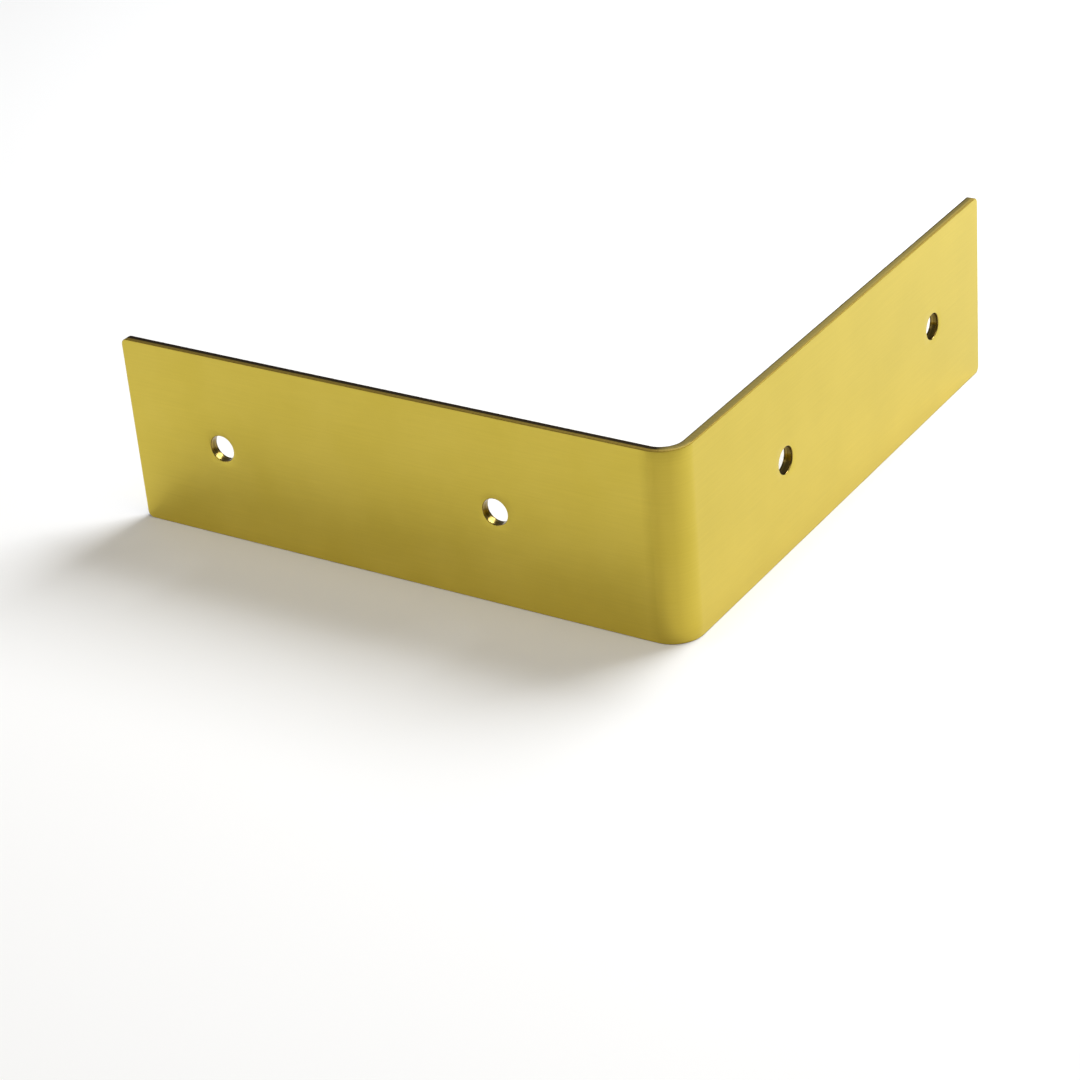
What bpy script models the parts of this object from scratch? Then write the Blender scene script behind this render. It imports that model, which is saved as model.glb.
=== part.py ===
"""Corner kick plate: a strip of sheet brass bent square, to wrap the outside corner of a plinth.

Metres, +Z up. The plate stands on its bottom edge. Its left leg runs along -X with its outer
face towards -Y, and its right leg runs along +Y with its outer face towards +X. The origin is
on the bottom edge, in the middle of the bend and halfway through the sheet.
"""

import math

import bmesh
import bpy

# Driving dimensions of the bent strip
PLATE_HEIGHT = 0.03175
LEG_LENGTH = 0.100  # from the sharp corner of the two outer faces to a leg's free end
SHEET_THICKNESS = 0.0016
BEND_OUTER_RADIUS = 0.005
BEND_ANGLE = math.radians(90.0)

# Finish of the cut edges
END_CORNER_RADIUS = 0.0010  # the two corners of each free end, seen square on to the leg
EDGE_BREAK = 0.00015  # every edge is taken off by this much, and so is each hole's rim

# Screw holes, two in each leg, on the line halfway up the plate
HOLE_DIAMETER = 0.0044
HOLE_DISTANCES = {"near": 0.03175, "far": 0.08255}  # from the sharp corner of the outer faces
INTO_LEFT_LEG = (math.radians(-90.0), 0.0, 0.0)
INTO_RIGHT_LEG = (0.0, math.radians(-90.0), 0.0)

# Facets of the round stretches
BEND_STEPS = 12
END_CORNER_STEPS = 5
HOLE_STEPS = 36

BRASS_COLOUR = (0.60, 0.45, 0.09, 1.0)
BRASS_ROUGHNESS = 0.35

SHARP_EDGE_ANGLE = math.radians(60.0)
SMOOTH_SHADING_ANGLE = math.radians(30.0)
SAME_PLACE = 1e-6

# The outer faces meet in a sharp corner, beyond the bend, at x = OUTER_FACE and y = -OUTER_FACE.
# The bend's middle lies on the diagonal through that corner, and is the origin.
MIDDLE_RADIUS = BEND_OUTER_RADIUS - SHEET_THICKNESS / 2
BEND_CENTRE = MIDDLE_RADIUS * math.cos(BEND_ANGLE / 2)
OUTER_FACE = BEND_OUTER_RADIUS - BEND_CENTRE
FREE_END = LEG_LENGTH - OUTER_FACE


def clear_scene():
    for old_object in list(bpy.data.objects):
        bpy.data.objects.remove(old_object, do_unlink=True)


def add_object(name, bm):
    """Write a bmesh into a new object of the scene."""
    mesh = bpy.data.meshes.new(name)
    bm.to_mesh(mesh)
    bm.free()
    new_object = bpy.data.objects.new(name, mesh)
    bpy.context.collection.objects.link(new_object)
    return new_object


def rolled_brass():
    material = bpy.data.materials.new("rolled_brass")
    material.use_nodes = True
    shader = material.node_tree.nodes["Principled BSDF"]
    shader.inputs["Base Color"].default_value = BRASS_COLOUR
    shader.inputs["Metallic"].default_value = 1.0
    shader.inputs["Roughness"].default_value = BRASS_ROUGHNESS
    return material


def sheared_end(bm):
    """The strip's section, thickness by height, where the left leg starts."""
    outer_y = -OUTER_FACE
    inner_y = outer_y + SHEET_THICKNESS
    outline = ((outer_y, 0.0), (outer_y, PLATE_HEIGHT), (inner_y, PLATE_HEIGHT), (inner_y, 0.0))
    return bm.faces.new([bm.verts.new((-FREE_END, y, z)) for y, z in outline])


def with_its_rim(section):
    """The section's face with its edges and corners, so that a run leaves no face inside."""
    return [section, *section.edges, *section.verts]


def run_straight(bm, section, direction):
    """Carry the section along one leg's flat stretch, and return the section at its end."""
    run = bmesh.ops.extrude_face_region(bm, geom=with_its_rim(section))["geom"]
    flat_length = LEG_LENGTH - BEND_OUTER_RADIUS
    moved = [item for item in run if isinstance(item, bmesh.types.BMVert)]
    step = [component * flat_length for component in direction]
    bmesh.ops.translate(bm, verts=moved, vec=step)
    return next(item for item in run if isinstance(item, bmesh.types.BMFace))


def run_round_bend(bm, section):
    """Carry the section round the upright bend axis, and return the section at its end."""
    bend = bmesh.ops.spin(
        bm,
        geom=with_its_rim(section),
        cent=(-BEND_CENTRE, BEND_CENTRE, 0.0),
        axis=(0.0, 0.0, 1.0),
        angle=BEND_ANGLE,
        steps=BEND_STEPS,
    )["geom_last"]
    return next(item for item in bend if isinstance(item, bmesh.types.BMFace))


def is_at_free_end(vert):
    return vert.co.x < SAME_PLACE - FREE_END or vert.co.y > FREE_END - SAME_PLACE


def end_corner_edges(bm):
    """The four short edges that run through the sheet at the corners of the free ends."""
    return [
        edge
        for edge in bm.edges
        if all(is_at_free_end(vert) for vert in edge.verts)
        and abs(edge.verts[0].co.z - edge.verts[1].co.z) < SAME_PLACE
    ]


def bevel_edges(bm, edges, width, segments):
    bmesh.ops.bevel(
        bm,
        geom=edges,
        offset=width,
        segments=segments,
        profile=0.5,
        affect="EDGES",
        material=-1,
    )


def bent_strip():
    """The strip from end to end, with its corners rounded and its edges broken."""
    bm = bmesh.new()
    section = sheared_end(bm)
    section = run_straight(bm, section, (1.0, 0.0, 0.0))
    section = run_round_bend(bm, section)
    run_straight(bm, section, (0.0, 1.0, 0.0))
    bmesh.ops.recalc_face_normals(bm, faces=bm.faces)

    bevel_edges(bm, end_corner_edges(bm), END_CORNER_RADIUS, END_CORNER_STEPS)
    sharp_edges = [edge for edge in bm.edges if edge.calc_face_angle() > SHARP_EDGE_ANGLE]
    bevel_edges(bm, sharp_edges, EDGE_BREAK, 1)
    return bm


def hole_cutter():
    """A drilled hole's space along +Z, from the outer face at z = 0, flared at both faces."""
    bore = HOLE_DIAMETER / 2
    flare = bore + 2 * EDGE_BREAK
    back = SHEET_THICKNESS
    profile = (
        (0.0, -EDGE_BREAK),
        (flare, -EDGE_BREAK),
        (bore, EDGE_BREAK),
        (bore, back - EDGE_BREAK),
        (flare, back + EDGE_BREAK),
        (0.0, back + EDGE_BREAK),
    )
    bm = bmesh.new()
    verts = [bm.verts.new((radius, 0.0, depth)) for radius, depth in profile]
    edges = [bm.edges.new(pair) for pair in zip(verts, verts[1:])]
    bmesh.ops.spin(
        bm,
        geom=verts + edges,
        cent=(0.0, 0.0, 0.0),
        axis=(0.0, 0.0, 1.0),
        angle=math.tau,
        steps=HOLE_STEPS,
        use_merge=True,
    )
    bmesh.ops.remove_doubles(bm, verts=bm.verts, dist=SAME_PLACE)
    bmesh.ops.recalc_face_normals(bm, faces=bm.faces)
    return bm


def drill(plate, name, location, rotation):
    """Cut one screw hole, with its cutter lying on the leg's outer face and pointing inwards."""
    cutter = add_object(name, hole_cutter())
    cutter.location = location
    cutter.rotation_euler = rotation
    cutter.parent = plate
    cutter.hide_render = True
    cutter.display_type = "WIRE"

    cut = plate.modifiers.new(name, "BOOLEAN")
    cut.operation = "DIFFERENCE"
    cut.solver = "EXACT"
    cut.object = cutter


def build_plate():
    plate = add_object("corner_plate", bent_strip())
    plate.data.materials.append(rolled_brass())
    plate.data.shade_smooth()
    plate.data.set_sharp_from_angle(angle=SMOOTH_SHADING_ANGLE)

    mid_height = PLATE_HEIGHT / 2
    for place, distance in HOLE_DISTANCES.items():
        reach = distance - OUTER_FACE
        drill(plate, f"left_{place}_hole", (-reach, -OUTER_FACE, mid_height), INTO_LEFT_LEG)
        drill(plate, f"right_{place}_hole", (OUTER_FACE, reach, mid_height), INTO_RIGHT_LEG)


clear_scene()
build_plate()
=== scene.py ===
import math

import bmesh
import bpy
from mathutils import Matrix, Vector


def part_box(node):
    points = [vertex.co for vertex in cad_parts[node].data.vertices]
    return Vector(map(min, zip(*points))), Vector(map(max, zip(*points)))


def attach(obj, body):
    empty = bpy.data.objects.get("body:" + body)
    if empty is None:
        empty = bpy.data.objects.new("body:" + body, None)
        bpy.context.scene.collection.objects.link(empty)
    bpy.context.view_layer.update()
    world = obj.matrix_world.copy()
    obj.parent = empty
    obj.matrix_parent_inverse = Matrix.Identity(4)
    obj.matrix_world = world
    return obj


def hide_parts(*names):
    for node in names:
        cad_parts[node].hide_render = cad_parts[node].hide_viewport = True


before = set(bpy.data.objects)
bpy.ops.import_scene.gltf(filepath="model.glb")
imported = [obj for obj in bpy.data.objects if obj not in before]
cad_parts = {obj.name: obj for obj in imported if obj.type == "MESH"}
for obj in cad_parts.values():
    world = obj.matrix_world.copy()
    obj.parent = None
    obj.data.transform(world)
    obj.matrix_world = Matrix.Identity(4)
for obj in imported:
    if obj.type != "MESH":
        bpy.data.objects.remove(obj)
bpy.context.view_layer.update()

# The camera stands a forearm's length off, out beyond the bend, and faces the left leg more than
# the right. It looks down on the plate with a long lens, and is held a few degrees off level.
camera_azimuth = math.radians(34.43)
camera_elevation = math.radians(28.90)
camera_roll = math.radians(-5.08)
camera_distance = 0.4276
camera_lens = 100.0
camera_aim = Vector((-0.01548, -0.01169, 0.01938))


def direction(azimuth, elevation):
    """From the object towards a place. Azimuth 0 is in front of the left leg, at -Y."""
    level = math.cos(elevation)
    return Vector((math.sin(azimuth) * level, -math.cos(azimuth) * level, math.sin(elevation)))


def looking_along(line):
    return line.to_track_quat("-Z", "Y").to_matrix().to_4x4()


def add_to_scene(name, data):
    made = bpy.data.objects.new(name, data)
    bpy.context.scene.collection.objects.link(made)
    return made


camera = add_to_scene("camera", bpy.data.cameras.new("camera"))
camera.data.lens = camera_lens
camera.data.sensor_width = 36.0
camera.data.clip_start = 0.01
to_camera = direction(camera_azimuth, camera_elevation)
camera.matrix_world = (
    Matrix.Translation(camera_aim + to_camera * camera_distance)
    @ looking_along(-to_camera)
    @ Matrix.Rotation(camera_roll, 4, "Z")
)
bpy.context.scene.camera = camera

# The corner plate: a strip of 1.6 mm brass sheet, slit to width, its corners cropped round, four
# screw holes drilled through it flat, and then folded square in a press. It is one piece.
low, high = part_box("corner_plate")
height = high.z - low.z
leg_length = high.x - low.x
outer_face = high.x
sheet = 0.0016
bend_outer_radius = 0.005
bend_centre = bend_outer_radius - outer_face
bend_length = (bend_outer_radius - sheet / 2) * math.radians(90)
bend_start = bend_length / 2
half_strip = bend_start + leg_length - bend_outer_radius

end_corner_radius = 0.0010
hole_radius = 0.0022
hole_distances = (0.03175, 0.08255)
edge_break = 0.00015

# The sheet is a grid with a square patch round each hole. A patch has as many points round its
# rim as its hole has, so that the two join with even faces.
patch = 0.014
patch_cells = 16
margin_cells = 4
patch_rings = 4


def sweep(bm, row, step, steps):
    """Draw a loose row of points and edges out into the next stretch of the grid."""
    return bmesh.ops.spin(
        bm,
        geom=row,
        cent=(0, 0, 0),
        axis=(0, 0, 1),
        dvec=step / steps,
        angle=0,
        steps=steps,
    )["geom_last"]


def flat_blank(bm, hole_places):
    """The strip's outer face laid out flat. X runs along the strip from the bend's middle, and
    each stretch of the grid is given as its length and its number of cells."""
    margin = (height - patch) / 2
    row = [bm.verts.new((-half_strip, 0, 0))]
    for stretch, steps in ((margin, margin_cells), (patch, patch_cells), (margin, margin_cells)):
        row = sweep(bm, row, Vector((0, 0, stretch)), steps)
    row = [*bm.verts, *bm.edges]

    near, far = hole_places
    leg = [
        (near - patch / 2 - bend_start, 8),
        (patch, patch_cells),
        (far - near - patch, 16),
        (patch, patch_cells),
        (half_strip - far - patch / 2, 4),
    ]
    for stretch, steps in [*reversed(leg), (bend_length, 36), *leg]:
        row = sweep(bm, row, Vector((stretch, 0, 0)), steps)


def drill(bm, along):
    """Take a patch out of the grid, and draw its rim in, ring by ring, to a round hole's rim."""
    centre = Vector((along, 0, height / 2))
    taken = [
        face
        for face in bm.faces
        if max(abs(part) for part in face.calc_center_median() - centre) < patch / 2
    ]
    bmesh.ops.delete(bm, geom=taken, context="FACES")
    rim = [
        edge
        for edge in bm.edges
        if edge.is_boundary
        and all(max(abs(part) for part in vert.co - centre) < patch * 0.501 for vert in edge.verts)
    ]
    for rings_left in range(patch_rings, 0, -1):
        ring = bmesh.ops.extrude_edge_only(bm, edges=rim)["geom"]
        rim = [item for item in ring if isinstance(item, bmesh.types.BMEdge)]
        for vert in [item for item in ring if isinstance(item, bmesh.types.BMVert)]:
            offset = vert.co - centre
            vert.co = centre + offset.lerp(offset.normalized() * hole_radius, 1 / rings_left)


def round_end_corners(bm):
    corners = [
        vert
        for vert in bm.verts
        if abs(abs(vert.co.x) - half_strip) < edge_break
        and min(vert.co.z, height - vert.co.z) < edge_break
    ]
    bmesh.ops.bevel(
        bm,
        geom=corners,
        offset=end_corner_radius,
        segments=8,
        profile=0.5,
        affect="VERTICES",
        material=-1,
    )


def thicken_and_ease(bm):
    """Give the sheet its thickness, and take its sheared and drilled edges off a little round."""
    back = bmesh.ops.extrude_face_region(bm, geom=[*bm.faces, *bm.edges, *bm.verts])["geom"]
    moved = [item for item in back if isinstance(item, bmesh.types.BMVert)]
    bmesh.ops.translate(bm, verts=moved, vec=(0, sheet, 0))
    bmesh.ops.recalc_face_normals(bm, faces=bm.faces)
    arrises = [edge for edge in bm.edges if edge.calc_face_angle() > math.radians(60)]
    bmesh.ops.bevel(
        bm,
        geom=arrises,
        offset=edge_break,
        segments=3,
        profile=0.5,
        affect="EDGES",
        material=-1,
    )


def fold(bm):
    """Bend the flat strip square, with the left leg's outer face at -Y and the right's at +X."""
    for vert in bm.verts:
        along, depth = vert.co.x, vert.co.y
        turn = min(max((along + bend_start) / bend_length, 0), 1) * math.radians(90)
        past_bend = along - min(max(along, -bend_start), bend_start)
        outwards = Vector((math.sin(turn), -math.cos(turn)))
        forwards = Vector((math.cos(turn), math.sin(turn)))
        place = outwards * (bend_outer_radius - depth) + forwards * past_bend
        vert.co.x = place.x - bend_centre
        vert.co.y = place.y + bend_centre


def mark_finishes(bm, hole_places):
    """Give each face its finish: the rolled faces take slot 0, the sheared edges 1, the bores 2.
    On the flat strip a rolled face looks along Y, and a cut one doesn't."""
    centres = [Vector((side * place, 0, height / 2)) for place in hole_places for side in (-1, 1)]
    for face in bm.faces:
        if abs(face.normal.y) < 0.8:
            middle = face.calc_center_median()
            middle.y = 0
            in_bore = min((middle - centre).length for centre in centres) < 2 * hole_radius
            face.material_index = 2 if in_bore else 1


def lay_out_strip(bm):
    """Keep each point's place on the flat strip and in its thickness, so that the finish bends
    with the metal. Both are in metres."""
    strip_map = bm.loops.layers.uv.new("strip")
    depth = bm.verts.layers.float.new("depth")
    for vert in bm.verts:
        vert[depth] = vert.co.y
    for face in bm.faces:
        for loop in face.loops:
            loop[strip_map].uv = (loop.vert.co.x, loop.vert.co.z)


def plate_mesh():
    bm = bmesh.new()
    hole_places = [bend_start + distance - bend_outer_radius for distance in hole_distances]
    flat_blank(bm, hole_places)
    for place in hole_places:
        drill(bm, -place)
        drill(bm, place)
    round_end_corners(bm)
    thicken_and_ease(bm)
    mark_finishes(bm, hole_places)
    lay_out_strip(bm)
    fold(bm)
    mesh = bpy.data.meshes.new("bent_brass_plate")
    bm.to_mesh(mesh)
    bm.free()
    mesh.shade_smooth()
    return mesh


plate = add_to_scene("bent_brass_plate", plate_mesh())
even_shading = plate.modifiers.new("even_shading", "WEIGHTED_NORMAL")
even_shading.weight = 100


def linear(hex_colour):
    """An sRGB hex colour as the linear numbers that a shader takes."""
    parts = [int(hex_colour[at : at + 2], 16) / 255 for at in (1, 3, 5)]
    light = [part / 12.92 if part <= 0.04045 else ((part + 0.055) / 1.055) ** 2.4 for part in parts]
    return [*light, 1.0]


def add_node(material, kind, settings=None, links=None):
    """A new node. Settings name its own properties or inputs; links name inputs and sockets."""
    node = material.node_tree.nodes.new(kind)
    for name, value in (settings or {}).items():
        if isinstance(name, str) and hasattr(node, name):
            setattr(node, name, value)
        else:
            node.inputs[name].default_value = value
    for name, socket in (links or {}).items():
        material.node_tree.links.new(socket, node.inputs[name])
    return node


# Two stretches of the strip, as distances from the bend's middle. On the bend the face is rougher
# and painted a little darker, as painted shade. From the bend on, the edges are painted bright bare
# brass, as a painted glint. Each fades in over its first pair and out over its second.
dulled_and_shaded_start = (-0.7 * bend_length, -0.35 * bend_length)
dulled_and_shaded_end = (-0.05 * bend_length, 0.45 * bend_length)
glint_start = (-0.002, 0.001)
glint_end = (0.012, 0.130)


def brass(name):
    """A metallic material, and its shader for the caller to give a pattern to."""
    material = bpy.data.materials.new(name)
    material.use_nodes = True
    shader = material.node_tree.nodes["Principled BSDF"]
    shader.inputs["Metallic"].default_value = 1.0
    return material, shader


def place_along(material):
    """The distance along the flat strip from the bend's middle, in metres."""
    strip = add_node(material, "ShaderNodeUVMap", {"uv_map": "strip"})
    return add_node(
        material,
        "ShaderNodeSeparateXYZ",
        links={"Vector": strip.outputs["UV"]},
    ).outputs["X"]


def streaks(material, along, across):
    """Noise on the flat strip, this many metres long and this many wide, from 0 to 1."""
    strip = add_node(material, "ShaderNodeUVMap", {"uv_map": "strip"})
    stretched = add_node(
        material,
        "ShaderNodeMapping",
        {"Scale": (1 / along, 1 / across, 1)},
        {"Vector": strip.outputs["UV"]},
    )
    return add_node(
        material,
        "ShaderNodeTexNoise",
        {"Scale": 1.0, "Detail": 3.0, "Roughness": 0.6},
        {"Vector": stretched.outputs["Vector"]},
    ).outputs["Fac"]


def clouds(material, size):
    """Soft noise through the metal, in patches about this many metres across, from 0 to 1."""
    place = add_node(material, "ShaderNodeTexCoord")
    return add_node(
        material,
        "ShaderNodeTexNoise",
        {"Scale": 1 / size, "Detail": 2.0, "Roughness": 0.5},
        {"Vector": place.outputs["Object"]},
    ).outputs["Fac"]


def between(material, amount, low_value, high_value, low_at=0.3, high_at=0.7):
    """Turn an amount into a number from one value to another. Noise stays near 0.3 to 0.7."""
    return add_node(
        material,
        "ShaderNodeMapRange",
        {"From Min": low_at, "From Max": high_at, "To Min": low_value, "To Max": high_value},
        {"Value": amount},
    ).outputs["Result"]


def product(material, first, second):
    """Multiply two amounts."""
    return add_node(
        material,
        "ShaderNodeMath",
        {"operation": "MULTIPLY"},
        {0: first, 1: second},
    ).outputs["Value"]


def mixed(material, amount, first, second, blend="MIX"):
    """Mix two colours, each a hex value or another node's colour. Sockets 0, 6 and 7 are the
    mix node's factor and its two colours, and its third output is the mixed colour."""
    settings = {"data_type": "RGBA", "blend_type": blend}
    links = {}
    for socket, colour in ((6, first), (7, second)):
        if isinstance(colour, str):
            settings[socket] = linear(colour)
        else:
            links[socket] = colour
    if isinstance(amount, float):
        settings[0] = amount
    else:
        links[0] = amount
    return add_node(material, "ShaderNodeMix", settings, links).outputs[2]


def rolled_satin_brass():
    """Cold-rolled and satin-polished. The eye sees an even, soft gold with a faint grain along
    the strip, barely cloudy where it has been handled, rougher on the bend where the press
    stretched it, and painted a little darker there as painted shade.
    The polishing lines are really 0.05 mm apart, and are drawn 0.3 mm apart so that they show."""
    material, shader = brass("rolled_satin_brass")
    grain = streaks(material, 0.012, 0.0003)
    cloud = clouds(material, 0.011)
    tone = mixed(material, between(material, cloud, 0.0, 1.0), "#D0BB4C", "#D6C153")
    lines = mixed(material, between(material, grain, 0.0, 1.0), "#FAFAFA", "#FFFFFF")
    colour = mixed(material, 1.0, tone, lines, blend="MULTIPLY")
    handled = between(material, cloud, 0.36, 0.40)
    along = place_along(material)
    fades_in = between(material, along, 0.0, 1.0, *dulled_and_shaded_start)
    fades_out = between(material, along, 1.0, 0.0, *dulled_and_shaded_end)
    dulled_and_shaded = product(material, fades_in, fades_out)
    rougher_by = 0.12
    rough = add_node(
        material,
        "ShaderNodeMath",
        {"operation": "MULTIPLY_ADD", 1: rougher_by},
        {0: dulled_and_shaded, 2: handled},
    ).outputs["Value"]
    # Painted shade: the stretch on the bend is painted a little darker than the rest of the face.
    painted_shade_colour = mixed(material, 1.0, colour, "#F1EFEB", blend="MULTIPLY")
    bump = add_node(
        material,
        "ShaderNodeBump",
        {"Strength": 0.5, "Distance": 0.000003},
        {"Height": grain},
    )
    links = material.node_tree.links
    links.new(mixed(material, dulled_and_shaded, colour, painted_shade_colour), shader.inputs["Base Color"])
    links.new(rough, shader.inputs["Roughness"])
    links.new(bump.outputs["Normal"], shader.inputs["Normal"])
    return material


def sheared_brass():
    """Sheared and left as it was. The eye sees a clean brown land along the outer face, and a
    torn part behind it, tarnished and painted nearly black as a painted dark reflection. From the
    bend on, along the right leg, the edge is painted bright bare brass and is smoother, less and
    less, as a painted glint, and keeps its dark rims."""
    material, shader = brass("sheared_brass")
    depth = add_node(material, "ShaderNodeAttribute", {"attribute_name": "depth"}).outputs["Fac"]
    along = place_along(material)
    tears = streaks(material, 0.00025, 0.00025)
    # Painted glint: from the bend on, the edge between its dark rims is painted bright bare brass.
    past_start = between(material, along, 0.0, 1.0, *glint_start)
    before_end = between(material, along, 1.0, 0.0, *glint_end)
    torn = between(material, depth, 0.0, 1.0, 0.35 * sheet, 0.5 * sheet)
    past_rim = between(material, depth, 0.0, 1.0, 0.1 * sheet, 0.25 * sheet)
    before_rim = between(material, depth, 1.0, 0.0, 0.75 * sheet, 0.9 * sheet)
    glint_length = product(material, past_start, before_end)
    glint_width = product(material, past_rim, before_rim)
    painted_glint = product(material, glint_length, glint_width)
    # Painted dark reflection: the torn part is painted nearly black, darker than its brown tarnish.
    torn_painted_dark = mixed(material, between(material, tears, 0.0, 1.0), "#1C1408", "#3A2C14")
    brown = mixed(material, between(material, tears, 0.0, 1.0), "#7E6828", "#A08838")
    tarnish_and_painted_dark = mixed(material, torn, brown, torn_painted_dark)
    painted_glint_brass = mixed(material, between(material, tears, 0.0, 1.0), "#D6BC5A", "#F0D880")
    links = material.node_tree.links
    links.new(mixed(material, painted_glint, tarnish_and_painted_dark, painted_glint_brass), shader.inputs["Base Color"])
    links.new(between(material, painted_glint, 0.55, 0.3, 0.0, 1.0), shader.inputs["Roughness"])
    bump = add_node(
        material,
        "ShaderNodeBump",
        {"Strength": 0.6, "Distance": 0.00001},
        {"Height": tears},
    )
    links.new(bump.outputs["Normal"], shader.inputs["Normal"])
    return material


def drilled_brass():
    """Drilled and left bright. The eye sees turned rings; the walls are painted much darker than
    the faces, darkest between the rings, as painted shade inside the holes. The rings are really
    about
    0.1 mm apart, and are drawn 0.25 mm apart so that they show."""
    ring_spacing = 0.00025
    material, shader = brass("drilled_brass")
    shader.inputs["Roughness"].default_value = 0.22
    depth = add_node(material, "ShaderNodeAttribute", {"attribute_name": "depth"}).outputs["Fac"]
    rings = add_node(
        material,
        "ShaderNodeTexNoise",
        {"noise_dimensions": "1D", "Scale": 1 / ring_spacing, "Detail": 2.0},
        {"W": depth},
    ).outputs["Fac"]
    # Painted shade: the bore walls take ring colours much darker than the face brass.
    colour = mixed(material, between(material, rings, 0.0, 1.0), "#4A3A12", "#A48E4C")
    links = material.node_tree.links
    links.new(colour, shader.inputs["Base Color"])
    bump = add_node(
        material,
        "ShaderNodeBump",
        {"Strength": 0.6, "Distance": 0.00001},
        {"Height": rings},
    )
    links.new(bump.outputs["Normal"], shader.inputs["Normal"])
    return material


for finish in (rolled_satin_brass(), sheared_brass(), drilled_brass()):
    plate.data.materials.append(finish)
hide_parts("corner_plate")
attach(plate, "root")

# The stage: a wide pale floor, a large soft light behind the plate, two weaker ones overhead and
# in front on the left, and a dim white room.
floor_mesh = bpy.data.meshes.new("floor")
bm = bmesh.new()
bmesh.ops.create_grid(bm, x_segments=1, y_segments=1, size=2.0)
bm.to_mesh(floor_mesh)
bm.free()
floor = add_to_scene("floor", floor_mesh)
floor_paint = bpy.data.materials.new("matt_white_paper")
floor_paint.use_nodes = True
floor_shader = floor_paint.node_tree.nodes["Principled BSDF"]
floor_shader.inputs["Base Color"].default_value = linear("#F4F3F0")
floor_shader.inputs["Roughness"].default_value = 0.9
floor_mesh.materials.append(floor_paint)


def soft_light(name, azimuth, elevation, distance, size, power, colour):
    """A square softbox that faces the plate."""
    lamp = add_to_scene(name, bpy.data.lights.new(name, "AREA"))
    lamp.data.shape = "SQUARE"
    lamp.data.size = size
    lamp.data.energy = power
    lamp.data.color = linear(colour)[:3]
    line = direction(math.radians(azimuth), math.radians(elevation))
    aim = Vector((-0.03, 0.03, 0.015))
    lamp.matrix_world = Matrix.Translation(aim + line * distance) @ looking_along(-line)
    return lamp


soft_light("key_light", 161, 50, 0.65, 0.4, 5.1, "#F3F7FF")
soft_light("overhead_fill", 60, 68, 0.9, 0.5, 2.4, "#FFFAF2")
soft_light("side_fill", 300, 20, 0.9, 0.5, 1.65, "#FFFAF2")

world = bpy.data.worlds.new("studio")
world.use_nodes = True
world.node_tree.nodes["Background"].inputs["Color"].default_value = linear("#FFFFFF")
world.node_tree.nodes["Background"].inputs["Strength"].default_value = 0.2
bpy.context.scene.world = world
bpy.context.scene.view_settings.view_transform = "Standard"
